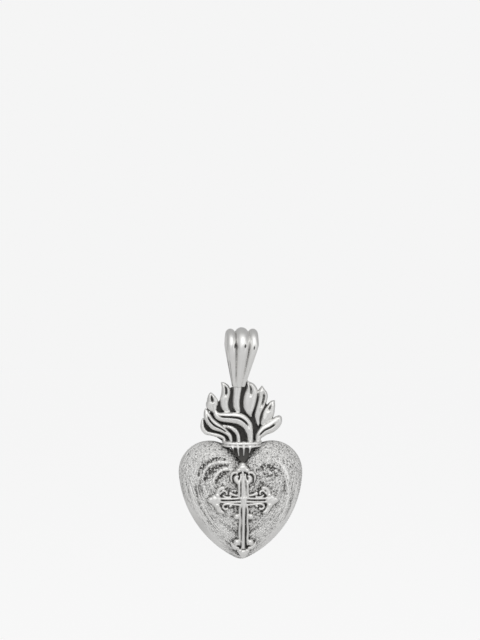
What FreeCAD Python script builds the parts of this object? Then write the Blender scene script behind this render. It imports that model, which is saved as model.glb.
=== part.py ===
import FreeCAD, Part
import Sketcher
import math
import os

# Sacred heart pendant in cast silver, in millimetres.
# The origin is the centre of the bail's bore, +Z is up and the front faces -Y.
# Four castings are soldered together: heart_body, flame_crown, cross and bail.

V = FreeCAD.Vector

SIZES = {
    # Heart: outline of six arcs with a domed front, a bevelled rim and a flat back.
    # The radii of lobes, sides and dome are shares of the width.
    "heart_centre_drop": 29.0,
    "heart_width": 24.2,
    "lobe_share": 0.248,
    "lobe_rise": 5.1,
    "side_share": 0.826,
    "tip_drop": 11.9,
    "tip_radius": 3.0,
    "cleft_radius": 1.6,
    "heart_back": 1.2,
    "heart_front": 4.6,
    "dome_share": 1.075,
    "rim_bevel": 1.4,
    # Bail: fluted loop that tapers to its foot on the middle flame
    "bore_radius": 2.7,
    "flute_radius": 1.05,
    "flute_ring_radius": 3.25,
    "flute_pitch": 2.05,
    "foot_drop": 7.3,
    "foot_flute_radius": 0.42,
    "foot_pitch": 0.68,
    "foot_depth": 0.95,
    "foot_offset": -0.5,
    # Crown: flames in a double-ridged collar, over a ribbed cone that sits in the cleft
    "collar_drop": 18.55,
    "collar_offset": 0.1,
    "collar_rise": 0.6,
    "collar_forward": 0.7,
    "collar_half_width": 3.5,
    "collar_half_depth": 2.1,
    "collar_tilt": 20.0,
    "collar_height": 1.3,
    "collar_ridge": 0.3,
    "crown_width": 15.4,
    "crown_height": 12.8,
    "flame_thickness": 1.9,
    "flame_ground_thickness": 1.1,
    "cone_drop": 22.1,
    "cone_tip_depth": 3.3,
    "cone_half_width": 2.6,
    "cone_half_depth": 1.75,
    "cone_rib_radius": 0.42,
    # Cross: ribs, scrolls and beads that follow the dome
    "cross_low": 0.6,
    "cross_width": 13.6,
    "cross_height": 18.4,
    "cross_rise": 0.95,
    "cross_ground_rise": 0.45,
    "cross_bead_radius": 0.58,
}

# The flames are drawn 15.4 wide and 12.8 high, from the collar's centre:
# name, depth of the root and of the tip, depth of the slit, then points of
# distance to the right, height and half width along the middle of the flame.
DRAWN_CROWN_WIDTH = 15.4
DRAWN_CROWN_HEIGHT = 12.8
FLAMES = [
    ("left_leaf", -0.2, -0.2, 0.55,
     [(-4.95, 6.11, 0.31), (-5.33, 6.62, 0.67), (-5.72, 7.48, 1.09), (-5.63, 8.2, 1.1),
      (-5.77, 8.97, 0.86), (-5.91, 9.7, 0.45), (-5.92, 10.17, 0)]),
    ("left_hook", -0.1, -0.1, 0.5,
     [(-2.32, 6.25, 0.38), (-2.93, 6.78, 0.65), (-3.27, 7.61, 0.79), (-3.29, 8.57, 0.85),
      (-3.09, 9.39, 0.85), (-2.95, 10.28, 0.84), (-3.09, 11.06, 0.74), (-3.56, 11.74, 0.37),
      (-3.99, 12.13, 0)]),
    ("middle", 0, 0, 0,
     [(-0.49, 6.18, 0.42), (-0.67, 6.65, 0.58), (-0.89, 7.34, 0.68), (-0.95, 8.16, 0.7),
      (-0.93, 8.98, 0.73), (-0.82, 9.94, 0.75), (-0.73, 10.87, 0.84), (-0.66, 11.7, 0.78)]),
    ("tall_leaf", -0.2, -0.1, 0.45,
     [(1.89, 5.24, 0.1), (1.79, 5.66, 0.38), (1.59, 6.38, 0.79), (1.55, 7.27, 1.12), (1.65, 8.23, 1.27),
      (1.83, 9.19, 1.3), (2.03, 10.22, 1.23), (1.83, 11.21, 0.89), (1.28, 12.04, 0.3), (1, 12.82, 0)]),
    ("right_leaf", -0.3, -0.2, 0.45,
     [(3.35, 3.44, 0.05), (3.3, 3.92, 0.31), (3.22, 4.74, 0.5), (3.2, 5.63, 0.66), (3.4, 6.45, 0.69),
      (3.78, 7.41, 0.79), (4.12, 8.5, 0.86), (4.27, 9.46, 0.91), (4.07, 10.32, 0.74), (4.07, 11, 0.33),
      (4.09, 11.45, 0)]),
    ("right_lean", -0.35, -0.2, 0.4,
     [(3.95, 3.78, 0.22), (4.31, 4.43, 0.55), (4.89, 5.22, 0.97), (5.37, 6.18, 1.11), (5.76, 7.13, 0.86),
      (6.19, 8.06, 0.5), (6.65, 8.57, 0)]),
    ("right_low", -0.9, -0.35, 0.55,
     [(3.16, 0.73, 0.45), (3.37, 1.52, 0.62), (3.88, 2.2, 0.84), (4.7, 2.86, 1.01), (5.83, 3.4, 1.12),
      (6.84, 4.26, 1.04), (7.37, 5.11, 0.66), (7.54, 5.59, 0.2)]),
    ("left_low", -0.8, -0.3, 0,
     [(-3.75, 1.42, 0.31), (-4.82, 1.82, 0.35), (-5.91, 2.06, 0.28), (-6.88, 2.33, 0.36),
      (-7.49, 3.09, 0.38), (-7.61, 3.92, 0.3), (-7.55, 4.74, 0.18), (-7.49, 5.22, 0)]),
    ("left_ribbon", -1.1, -0.4, 0.5,
     [(-2.01, 0.73, 0.34), (-2.25, 1.69, 0.49), (-2.9, 2.48, 0.53), (-4.03, 3.13, 0.73),
      (-5.26, 3.71, 0.9), (-6.13, 4.57, 0.83), (-6.63, 5.53, 0.69), (-6.9, 6.48, 0.36),
      (-7.02, 7.07, 0)]),
    ("curl", -1.1, -0.7, 0,
     [(-0.56, 0.7, 0.36), (-0.69, 1.76, 0.36), (-1.12, 2.58, 0.4), (-1.97, 3.16, 0.42),
      (-2.97, 3.54, 0.24), (-4.03, 3.88, 0)]),
    ("swirl", -1.1, -0.6, 0.55,
     [(1.7, 0.7, 0.53), (1.65, 1.76, 0.59), (1.48, 2.65, 0.75), (1.18, 3.57, 0.95), (0.56, 4.36, 1.07),
      (-0.45, 4.98, 1.13), (-1.84, 5.2, 1.04), (-3.17, 5.27, 0.94), (-4.23, 5.42, 0.83),
      (-4.92, 5.97, 0.56), (-5.23, 7, 0)]),
]
# The dark ground between the flames fans out from the collar, in the same drawing.
FLAME_GROUND = [
    (-3.0, 0.2), (-5.6, 1.9), (-7.2, 2.7), (-7.3, 4.6), (-6.3, 5.8), (-5.4, 7.4), (-4.6, 8.2), (-2.4, 9.9),
    (-0.6, 10.6), (2.2, 10.5), (4.2, 9.2), (5.4, 7.2), (5.6, 5.0), (4.6, 2.4), (3.2, 0.2),
]
FLAME_STATIONS = 7

# The cross is drawn 13.6 wide and 18.4 high, from its crossing. Each stroke is
# the right hand one of a pair, as points of distance out, height and half width.
DRAWN_CROSS_WIDTH = 13.6
DRAWN_CROSS_HEIGHT = 18.4
CROSS_SHAFTS = [
    ("upper_shaft", [(0, 0.3, 0.4), (0, 2.6, 0.5), (0, 5.2, 0.34), (0, 6.2, 0.3)]),
    ("lower_shaft", [(0, 0.5, 0.5), (0, -1.2, 0.34), (0, -5.0, 0.3), (0, -9.4, 0.34)]),
    ("top_finial", [(0, 5.5, 0.3), (0, 6.15, 1.0), (0, 6.75, 0.7), (0, 7.45, 0)]),
    ("bottom_finial", [(0, -9.1, 0.35), (0, -9.75, 1.0), (0, -10.3, 0.7), (0, -10.95, 0)]),
]
CROSS_STROKES = [
    ("upper_side_rib", [(0.62, 0.7, 0.17), (0.88, 1.9, 0.19), (0.78, 3.0, 0.17), (1.1, 4.0, 0.17)]),
    ("lower_side_rib", [(0.6, -0.5, 0.16), (0.74, -1.6, 0.17), (0.6, -3.2, 0.16), (0.74, -5.8, 0.18),
                        (0.62, -7.4, 0.17), (1.0, -8.9, 0.15)]),
    ("arm_upper_rib", [(0.3, 0.34, 0.16), (2.5, 0.33, 0.15), (4.8, 0.4, 0.15)]),
    ("arm_lower_rib", [(0.3, -0.2, 0.16), (2.5, -0.19, 0.15), (4.8, -0.24, 0.15)]),
    ("arm_finial", [(4.45, 0.1, 0.25), (5.2, 0.1, 0.98), (5.9, 0.12, 0.65), (6.8, 0.15, 0)]),
    ("upper_wave", [(0.8, 0.95, 0.17), (1.9, 0.9, 0.15), (2.7, 1.36, 0.24), (3.0, 1.5, 0.1)]),
    ("upper_hook", [(5.0, 0.8, 0.22), (4.95, 1.6, 0.22), (4.5, 2.3, 0.22), (3.75, 2.5, 0.12)]),
    ("upper_curl", [(4.7, 1.5, 0.14), (4.1, 1.85, 0.17), (3.55, 1.7, 0.17), (3.25, 1.3, 0.12)]),
    ("upper_loop", [(4.0, 1.25, 0.12), (3.5, 0.75, 0.14), (2.9, 0.62, 0.14), (2.3, 0.75, 0.1)]),
    ("lower_wave", [(0.8, -0.62, 0.17), (2.2, -0.75, 0.14), (3.2, -0.6, 0.15), (3.95, -0.95, 0.16),
                    (3.85, -1.5, 0.16), (3.3, -1.6, 0.14)]),
    ("lower_leaf", [(5.1, -0.35, 0.3), (5.0, -1.5, 0.36), (4.4, -2.2, 0.3), (3.7, -2.4, 0.1)]),
    ("top_volute", [(0.35, 4.7, 0.22), (1.15, 5.5, 0.22), (2.05, 5.6, 0.22), (2.4, 4.9, 0.2),
                    (2.25, 4.3, 0.12)]),
    ("bottom_leaf", [(0.7, -9.2, 0.3), (1.5, -9.15, 0.32), (2.0, -8.7, 0.26), (2.3, -8.1, 0.1)]),
]
CROSS_BEADS = [("top_bead", 1.45, 4.4), ("middle_bead", 1.18, -3.0), ("bottom_bead", 1.22, -8.1)]
CROSS_GROUND = [
    ("shaft_ground", [(0, 6.0, 0.9), (0, 4.4, 2.0), (0, 3.2, 1.2), (0, -8.2, 1.2),
                      (0, -9.0, 1.6), (0, -9.8, 0.8)]),
    ("left_ground", [(-0.2, 0.1, 1.0), (-2.6, 0.1, 1.25), (-4.2, 0.0, 2.3), (-5.1, 0.1, 1.2)]),
    ("right_ground", [(0.2, 0.1, 1.0), (2.6, 0.1, 1.25), (4.2, 0.0, 2.3), (5.1, 0.1, 1.2)]),
]
CROSS_STATIONS = 5

# Each flute of the bail is an eight-sided rib, in twelve steps over the bore.
FLUTE_STEPS = 12
FLUTE_SIDES = 8

# Half a flame's section, from its edge to the lip of its slit, as shares of half
# width and of half thickness, and the corner of its back.
FLAME_FRONT = [(1.0, 0.0), (0.88, 0.5), (0.55, 0.92), (0.2, 1.0)]
FLAME_BACK = (0.55, -0.8)

# Stations round the collar, corners round the cone's core, and where its ribs start.
COLLAR_STATIONS = 24
CONE_SIDES = 12
CONE_RIB_TURNS = [-78, -47, -16, 16, 47, 78]
CONE_CORE_TOP = 1.15
CONE_CORE_FOOT = 0.2

# Rings of a bead, as shares of its radius: half width and height.
BEAD_RINGS = [(1.0, -0.6), (1.0, 0.5), (0.8, 1.0), (0.42, 1.3)]
BEAD_SIDES = 10


def make_sheet():
    sheet = doc.addObject("Spreadsheet::Sheet", "sizes")
    for row, (name, value) in enumerate(SIZES.items(), 1):
        sheet.set(f"A{row}", name)
        sheet.set(f"B{row}", str(value))
        sheet.setAlias(f"B{row}", name)
    doc.recompute()
    return sheet


def size(name):
    return float(sheet.get(name))


def bind(item, expressions):
    for path, expression in expressions.items():
        item.setExpression(path, expression)


def heart_radius(name):
    return size("heart_width") * size(f"{name}_share")


def feature(name, shape):
    item = doc.addObject("Part::Feature", name)
    item.Shape = shape
    return item


def fuse(name, pieces):
    item = doc.addObject("Part::MultiFuse", name)
    item.Shapes = pieces
    doc.recompute()
    return item


def cut(name, base, tool):
    item = doc.addObject("Part::Cut", name)
    item.Base = base
    item.Tool = tool
    doc.recompute()
    return item


# Heart

def heart_arcs():
    """The outline's six tangent arcs, about the heart's centre."""
    lobe_radius, side_radius = heart_radius("lobe"), heart_radius("side")
    tip_radius, cleft_radius = size("tip_radius"), size("cleft_radius")
    lobe = V(size("heart_width") / 2 - lobe_radius, size("lobe_rise"), 0)
    tip = V(0, tip_radius - size("tip_drop"), 0)
    cleft = V(0, lobe.y + math.sqrt((lobe_radius + cleft_radius)**2 - lobe.x**2), 0)
    way = tip - lobe
    reach_lobe, reach_tip = side_radius - lobe_radius, side_radius - tip_radius
    along = (reach_lobe**2 - reach_tip**2 + way.Length**2) / (2 * way.Length)
    aside = math.sqrt(reach_lobe**2 - along**2)
    way.normalize()
    side = lobe + way * along + V(way.y, -way.x, 0) * aside

    lobe_top = lobe + (cleft - lobe).normalize() * lobe_radius
    lobe_side = lobe + (lobe - side).normalize() * lobe_radius
    tip_side = tip + (tip - side).normalize() * tip_radius

    def arc(centre, radius, start, end):
        first = math.atan2(start.y - centre.y, start.x - centre.x)
        last = math.atan2(end.y - centre.y, end.x - centre.x)
        if last < first:
            last += 2 * math.pi
        return Part.ArcOfCircle(Part.Circle(centre, V(0, 0, 1), radius), first, last)

    def left(point):
        return V(-point.x, point.y, 0)

    return [
        arc(lobe, lobe_radius, lobe_side, lobe_top),
        arc(cleft, cleft_radius, left(lobe_top), lobe_top),
        arc(left(lobe), lobe_radius, left(lobe_top), left(lobe_side)),
        arc(left(side), side_radius, left(lobe_side), left(tip_side)),
        arc(tip, tip_radius, left(tip_side), tip_side),
        arc(side, side_radius, tip_side, lobe_side),
    ]


def heart_sketch(body):
    sketch = body.newObject("Sketcher::SketchObject", "heart_outline")
    plane = next(item for item in body.Origin.OriginFeatures if item.Role == "XZ_Plane")
    sketch.AttachmentSupport = [(plane, "")]
    sketch.MapMode = "FlatFace"
    arcs = heart_arcs()
    right, cleft, left, left_side, tip, right_side = [sketch.addGeometry(item, False) for item in arcs]
    joins = [(right_side, 2, right, 1), (right, 2, cleft, 2), (cleft, 1, left, 1),
             (left, 2, left_side, 1), (left_side, 2, tip, 1), (tip, 2, right_side, 1)]
    for join in joins:
        sketch.addConstraint(Sketcher.Constraint("Tangent", *join))
    sketch.addConstraint(Sketcher.Constraint("Equal", right, left))
    sketch.addConstraint(Sketcher.Constraint("Equal", left_side, right_side))
    sketch.addConstraint(Sketcher.Constraint("Symmetric", right, 3, left, 3, -2))
    sketch.addConstraint(Sketcher.Constraint("PointOnObject", tip, 3, -2))
    lobe, point = arcs[0].Center, arcs[4].Center
    driving = [
        (("Radius", right, heart_radius("lobe")), "sizes.heart_width * sizes.lobe_share"),
        (("Radius", right_side, heart_radius("side")), "sizes.heart_width * sizes.side_share"),
        (("Radius", cleft, size("cleft_radius")), "sizes.cleft_radius"),
        (("Radius", tip, size("tip_radius")), "sizes.tip_radius"),
        (("DistanceX", -1, 1, right, 3, lobe.x), "sizes.heart_width * (0.5 - sizes.lobe_share)"),
        (("DistanceY", -1, 1, right, 3, lobe.y), "sizes.lobe_rise"),
        (("DistanceY", tip, 3, -1, 1, -point.y), "sizes.tip_drop - sizes.tip_radius"),
    ]
    for values, expression in driving:
        index = sketch.addConstraint(Sketcher.Constraint(*values))
        sketch.setExpression(f"Constraints[{index}]", expression)
    bind(sketch, {".AttachmentOffset.Base.y": "-sizes.heart_centre_drop",
                  ".AttachmentOffset.Base.z": "-sizes.heart_back"})
    return sketch


def make_heart():
    """Padded outline under a spherical dome, with a bevel of up to half the wall's height."""
    blank = doc.addObject("PartDesign::Body", "heart_blank")
    sketch = heart_sketch(blank)
    pad = blank.newObject("PartDesign::Pad", "heart_pad")
    pad.Profile = sketch
    bind(pad, {"Length": "sizes.heart_back + sizes.heart_front"})
    dome = doc.addObject("Part::Sphere", "heart_dome")
    bind(dome, {"Radius": "sizes.heart_width * sizes.dome_share",
                ".Placement.Base.y": "sizes.heart_width * sizes.dome_share - sizes.heart_front",
                ".Placement.Base.z": "-sizes.heart_centre_drop"})
    domed = doc.addObject("Part::Common", "domed_heart")
    domed.Base = blank
    domed.Tool = dome
    doc.recompute()
    heart = doc.addObject("Part::Chamfer", "heart_body")
    heart.Base = domed
    wall = size("heart_back") - dome_depth(size("heart_width") / 2, -size("heart_centre_drop"))
    bevel = min(size("rim_bevel"), wall / 2)
    top = next(face for face in domed.Shape.Faces if isinstance(face.Surface, Part.Sphere))
    rim = [n for n, edge in enumerate(domed.Shape.Edges, 1) if any(edge.isSame(other) for other in top.Edges)]
    heart.Edges = [(n, bevel, bevel) for n in rim]
    doc.recompute()
    return heart


def dome_depth(x, z):
    """Y of the dome's surface at x and z."""
    radius = heart_radius("dome")
    rise = z + size("heart_centre_drop")
    return radius - size("heart_front") - math.sqrt(radius**2 - x**2 - rise**2)


# Strokes: ruled lofts through many-sided sections along a curve

def spaced(points, count):
    """Places, directions and widths at even steps along a smooth curve through points."""
    spots = [spot for spot, _ in points]
    curve = Part.BSplineCurve()
    curve.interpolate(spots)
    knots = [curve.FirstParameter] + [curve.parameter(spot) for spot in spots[1:-1]] + [curve.LastParameter]
    step = curve.length() / (count - 1)
    for n in range(count):
        at = curve.parameterAtDistance(n * step, curve.FirstParameter) if n < count - 1 else knots[-1]
        k = max(i for i in range(len(knots) - 1) if knots[i] <= at + 1e-9)
        part = (at - knots[k]) / (knots[k + 1] - knots[k])
        width = points[k][1] + (points[k + 1][1] - points[k][1]) * part * part * (3 - 2 * part)
        yield curve.value(at), V(*curve.tangent(at)[0]), width


def flat_face(*corners):
    return Part.Face(Part.makePolygon(list(corners) + [corners[0]]))


def skin(rings):
    """Closed solid over rings of as many corners each; the last ring may be one point."""
    faces = [flat_face(*rings[0])]
    for near, far in zip(rings, rings[1:]):
        for n in range(len(near)):
            a, b = near[n - 1], near[n]
            if len(far) == 1:
                faces.append(flat_face(a, b, far[0]))
                continue
            c, d = far[n], far[n - 1]
            faces.append(flat_face(a, b, c))
            faces.append(flat_face(a, c, d))
    if len(rings[-1]) > 1:
        faces.append(flat_face(*rings[-1]))
    shell = Part.Shell(faces)
    shell.sewShape()
    solid = Part.Solid(shell)
    solid.fix(1e-6, 1e-6, 1e-6)
    return solid if solid.Volume > 0 else solid.reversed()


def stroke(points, count, section):
    """Solid whose section follows a curve, ending in a point where the width is 0."""
    rings = []
    for spot, along, width in spaced(points, count):
        if width < 0.02:
            rings.append([spot])
            continue
        aside = V(-along.z, 0, along.x).normalize()
        rings.append([spot + aside * out + V(0, -forward, 0) for out, forward in section(width)])
    return skin(rings)


def polygon_section(width, rise, sides):
    """Regular polygon stretched to width and rise, as distances out and forward."""
    turns = [2 * math.pi * (n + 0.5) / sides for n in range(sides)]
    return [(width * math.cos(turn), rise * math.sin(turn)) for turn in turns]


# Crown

def flame_section(thickness, slit):
    def section(width):
        half = min(thickness / 2, width * 1.4)
        right = [(width * out, half * up) for out, up in FLAME_FRONT]
        left = [(-out, up) for out, up in reversed(right)]
        back = [(-width * FLAME_BACK[0], half * FLAME_BACK[1]), (width * FLAME_BACK[0], half * FLAME_BACK[1])]
        if not slit:
            return right + left + back
        lip = right[-1][0]
        floor = half - min(slit, half * 0.8) * min(1, width / 0.6)
        return right + [(lip * 0.3, floor), (-lip * 0.3, floor)] + left + back
    return section


def collar_centre(rise=0):
    return V(size("collar_offset"), -size("collar_forward"), size("collar_rise") + rise - size("collar_drop"))


def crown_point(x, height, y):
    return V(x * size("crown_width") / DRAWN_CROWN_WIDTH, y,
             height * size("crown_height") / DRAWN_CROWN_HEIGHT - size("collar_drop"))


def make_flame(name, root_depth, tip_depth, slit, points):
    last = len(points) - 1
    spots = []
    for n, (x, height, width) in enumerate(points):
        y = root_depth + (tip_depth - root_depth) * n / last
        spots.append((crown_point(x, height, y), width * size("crown_width") / DRAWN_CROWN_WIDTH))
    section = flame_section(size("flame_thickness"), slit)
    return feature(f"flame_{name}", stroke(spots, FLAME_STATIONS, section))


def make_flame_ground():
    half = size("flame_ground_thickness") / 2
    corners = [crown_point(x, height, half) for x, height in FLAME_GROUND]
    plate = Part.Face(Part.makePolygon(corners + corners[:1]))
    return feature("flame_ground", plate.extrude(V(0, -2 * half, 0)))


def make_collar():
    """Tilted oval ring whose outside has two ridges with a groove between."""
    ridge, half = size("collar_ridge"), size("collar_height") / 2
    section = [(-ridge * 2, -half), (0, -half), (ridge, -half * 0.55), (ridge * 0.25, 0),
               (ridge, half * 0.55), (0, half), (-ridge * 2, half)]
    rings = []
    for n in range(COLLAR_STATIONS):
        turn = 2 * math.pi * n / COLLAR_STATIONS
        out = V(math.sin(turn), -math.cos(turn), 0)
        middle = V(size("collar_half_width") * out.x, size("collar_half_depth") * out.y, 0)
        corners = [middle + out * side + V(0, 0, up) for side, up in section]
        rings.append(Part.makePolygon(corners + corners[:1]))
    item = feature("collar_ring", Part.makeLoft(rings, True, True, True))
    item.Placement = FreeCAD.Placement(collar_centre(), FreeCAD.Rotation(V(1, 0, 0), size("collar_tilt")))
    return item


def make_cone():
    """Core and ribs that run down from the collar and meet in the heart's cleft."""
    wide, deep, rib = size("cone_half_width"), size("cone_half_depth"), size("cone_rib_radius")
    crest, rib_crest = collar_centre(0.45), collar_centre(0.1)
    tip = V(size("collar_offset"), -size("cone_tip_depth"), -size("cone_drop"))

    def oval(share, centre):
        turns = [2 * math.pi * n / CONE_SIDES for n in range(CONE_SIDES)]
        return [centre + V(wide * math.cos(turn), deep * math.sin(turn), 0) * share for turn in turns]

    foot = tip + V(0, 0.5, 0.2)
    pieces = [feature("cone_core", skin([oval(CONE_CORE_TOP, crest), oval(CONE_CORE_FOOT, foot)]))]
    for n, turn in enumerate(CONE_RIB_TURNS):
        way = math.radians(turn)
        start = rib_crest + V(wide * math.sin(way), -deep * math.cos(way), 0)
        end = tip + V(0.3 * math.sin(way), 0, 0)
        middle = (start + end) * 0.5 + V(0.2 * math.sin(way), -0.1, 0)
        points = [(start, rib), (middle, rib * 0.85), (end, rib * 0.3)]
        shape = stroke(points, 4, lambda width: polygon_section(width, width, 8))
        pieces.append(feature(f"cone_rib_{n}", shape))
    return pieces


def make_crown(heart):
    pieces = [make_flame(*flame) for flame in FLAMES]
    pieces += [make_flame_ground(), make_collar()] + make_cone()
    return cut("flame_crown", fuse("crown_blank", pieces), heart)


# Cross

def cross_point(x, height):
    x = x * size("cross_width") / DRAWN_CROSS_WIDTH
    z = height * size("cross_height") / DRAWN_CROSS_HEIGHT - size("heart_centre_drop") - size("cross_low")
    return V(x, dome_depth(x, z), z)


def cross_stroke(name, points, rise, sides):
    scale = size("cross_width") / DRAWN_CROSS_WIDTH
    spots = [(cross_point(x, height), width * scale) for x, height, width in points]
    return feature(name, stroke(spots, CROSS_STATIONS, lambda width: polygon_section(width, rise, sides)))


def make_bead(name, x, height):
    """Round button of four rings of corners."""
    radius = size("cross_bead_radius")
    centre = cross_point(x, height)
    turns = [2 * math.pi * n / BEAD_SIDES for n in range(BEAD_SIDES)]
    rings = []
    for share, rise in BEAD_RINGS:
        rings.append([centre + V(share * math.cos(turn), -rise, share * math.sin(turn)) * radius
                      for turn in turns])
    return feature(name, skin(rings))


def make_cross(heart):
    rise, low = size("cross_rise"), size("cross_ground_rise")
    pieces = [cross_stroke(name, points, low, 4) for name, points in CROSS_GROUND]
    pieces += [cross_stroke(name, points, rise, 6) for name, points in CROSS_SHAFTS]
    for side, word in [(1, "right"), (-1, "left")]:
        for name, points in CROSS_STROKES:
            flipped = [(side * x, height, width) for x, height, width in points]
            pieces.append(cross_stroke(f"{name}_{word}", flipped, rise * 0.85, 6))
        for name, x, height in CROSS_BEADS:
            pieces.append(make_bead(f"{name}_{word}", side * x, height))
    return cut("cross", fuse("cross_blank", pieces), heart)


# Bail

def flute_at(index, height):
    """Distance to the right and radius of a flute, which narrows from the bore to the foot."""
    share = min(1, max(0, -height / size("foot_drop")))
    top, foot = index * size("flute_pitch"), size("foot_offset") + index * size("foot_pitch")
    radius = size("flute_radius") + (size("foot_flute_radius") - size("flute_radius")) * share
    return top + (foot - top) * share, radius


def make_flute(index):
    """Rib that runs up the front leg, around over the bore and down the back leg."""
    ring, foot_drop, foot_depth = size("flute_ring_radius"), size("foot_drop"), size("foot_depth")
    opening = math.acos(ring / math.hypot(foot_drop, foot_depth)) + math.atan2(foot_depth, foot_drop)
    turns = [opening + (2 * math.pi - 2 * opening) * n / FLUTE_STEPS for n in range(FLUTE_STEPS + 1)]
    path = [(-foot_depth, -foot_drop, turns[0])]
    path += [(-ring * math.sin(turn), -ring * math.cos(turn), turn) for turn in turns]
    path += [(foot_depth, -foot_drop, turns[-1])]
    rings = []
    corners = [2 * math.pi * n / FLUTE_SIDES for n in range(FLUTE_SIDES)]
    for depth, height, turn in path:
        x, radius = flute_at(index, height)
        outward = V(0, -math.sin(turn), -math.cos(turn))
        rings.append([V(x + radius * math.cos(corner), depth, height) + outward * radius * math.sin(corner)
                      for corner in corners])
    return feature(f"flute_{index + 2}", skin(rings))


def make_bail_web():
    """Wedge between the legs, around the lower half of the bore."""
    top_half = size("flute_pitch") + size("flute_radius") * 0.7
    foot_half = size("foot_pitch") + size("foot_flute_radius") * 0.5
    rings = []
    for half, middle, depth, z in [(top_half, 0, size("flute_ring_radius"), 0),
                                   (foot_half, size("foot_offset"), size("foot_depth"), -size("foot_drop"))]:
        rings.append([V(middle + half * a, depth * b, z) for a, b in [(-1, -1), (1, -1), (1, 1), (-1, 1)]])
    return feature("bail_web", skin(rings))


def make_bail_band():
    """Half pipe that joins the flutes over the upper half of the bore."""
    band = doc.addObject("Part::Cylinder", "bail_band")
    bind(band, {"Radius": "sizes.flute_ring_radius", "Height": "2 * sizes.flute_pitch + sizes.flute_radius",
                ".Placement.Base.x": "-sizes.flute_pitch - sizes.flute_radius / 2"})
    band.Angle = 180
    band.Placement.Rotation = FreeCAD.Rotation(V(0, 1, 0), V(0, 0, 1), V(1, 0, 0), "XYZ")
    return band


def make_bail(crown):
    pieces = [make_bail_web(), make_bail_band()]
    pieces += [make_flute(index) for index in (-1, 0, 1)]
    bore = doc.addObject("Part::Cylinder", "bail_bore")
    bind(bore, {"Radius": "sizes.bore_radius", "Height": "4 * sizes.flute_pitch + 4 * sizes.flute_radius",
                ".Placement.Base.x": "-2 * sizes.flute_pitch - 2 * sizes.flute_radius"})
    bore.Placement.Rotation = FreeCAD.Rotation(V(0, 1, 0), 90)
    bored = cut("bored_bail", fuse("bail_blank", pieces), bore)
    return cut("bail", bored, crown)


def check_and_write(nodes):
    for item in doc.Objects:
        if "Invalid" in item.State or "Error" in item.State:
            raise RuntimeError(f"{item.Label} failed: {item.State}")
    for node in nodes:
        if node.Shape.isNull() or not node.Shape.isValid():
            raise RuntimeError(f"{node.Label} has no valid shape")
    os.makedirs("parts", exist_ok=True)
    for node in nodes:
        node.Shape.exportStep(f"parts/{node.Label}.step")


doc = FreeCAD.newDocument("pendant")
sheet = make_sheet()
heart = make_heart()
crown = make_crown(heart)
cross = make_cross(heart)
bail = make_bail(crown)

check_and_write([heart, crown, cross, bail])
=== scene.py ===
import math

import bmesh
import bpy
import numpy as np
from mathutils import Matrix, Vector
from mathutils.bvhtree import BVHTree


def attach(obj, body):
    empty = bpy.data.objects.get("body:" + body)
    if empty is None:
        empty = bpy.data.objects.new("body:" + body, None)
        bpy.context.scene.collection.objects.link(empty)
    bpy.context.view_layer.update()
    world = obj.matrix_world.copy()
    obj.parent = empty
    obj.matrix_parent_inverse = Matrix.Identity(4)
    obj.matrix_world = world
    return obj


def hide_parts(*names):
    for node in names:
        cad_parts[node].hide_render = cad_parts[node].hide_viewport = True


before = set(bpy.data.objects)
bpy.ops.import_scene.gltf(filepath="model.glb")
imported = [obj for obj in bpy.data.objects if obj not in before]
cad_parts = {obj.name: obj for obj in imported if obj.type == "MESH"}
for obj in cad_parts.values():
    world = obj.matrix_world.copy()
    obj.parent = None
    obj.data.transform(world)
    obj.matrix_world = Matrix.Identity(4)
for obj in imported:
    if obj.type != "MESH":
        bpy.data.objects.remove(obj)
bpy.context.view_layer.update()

# Lengths are written in millimetres, from the bore of the bail, with -Y to the front.
MM = 0.001

# Points closer than this are one
SEAM = 0.002

RIGHT, FRONT = Vector((1, 0, 0)), Vector((0, -1, 0))

# Heart
HEART_CENTRE = -29.0
HEART_WIDTH = 24.2
LOBE_RADIUS, LOBE_RISE = 6.0, 5.1
SIDE_RADIUS = 19.99
TIP_DROP, TIP_RADIUS = 11.9, 2.5
CLEFT_RADIUS = 1.6
HEART_BACK, HEART_FRONT = 1.2, 4.6
DOME_RADIUS = 26.0
EDGE_REACH, EDGE_DROP = 4.0, 2.1

# Collar and cone: the flames are drawn from FLAME_FOOT up, the ring is centred above it
FLAME_FOOT = -18.55
COLLAR_CENTRE = Vector((0.1, -0.7, -17.95))
COLLAR_TILT = math.radians(10)
COLLAR_HALF_WIDTH, COLLAR_HALF_DEPTH, COLLAR_SQUARENESS = 3.5, 2.1, 0.8
COLLAR_BAND, COLLAR_HALF_HEIGHT, COLLAR_SINK = 0.5, 0.6, 0.34
COLLAR_GROOVE_DEPTH, COLLAR_GROOVE_HALF, COLLAR_LINING = 0.45, 0.12, 2.2
CONE_TIP = Vector((0.1, -3.3, -22.1))
CONE_TOP = COLLAR_CENTRE - Vector((0, 0, 0.1))
CONE_FOOT = CONE_TIP + Vector((0, 0.45, 0.2))
CONE_WIDTH, CONE_DEPTH = 2.6, 1.75

# Bail
BORE_RADIUS = 2.7
RING_RADIUS = 3.25
FLUTE_PITCH, FLUTE_OFFSET = 2.2, 0.1
FOOT_DROP, FOOT_DEPTH, FOOT_OFFSET, FOOT_PITCH = 7.3, 0.95, -0.5, 0.86
MIDDLE_FLUTE, OUTER_FLUTE = (1.22, 0.6), (0.85, 0.32)
NARROWING_TOP = 0.7


# Curves and sweeps

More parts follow.
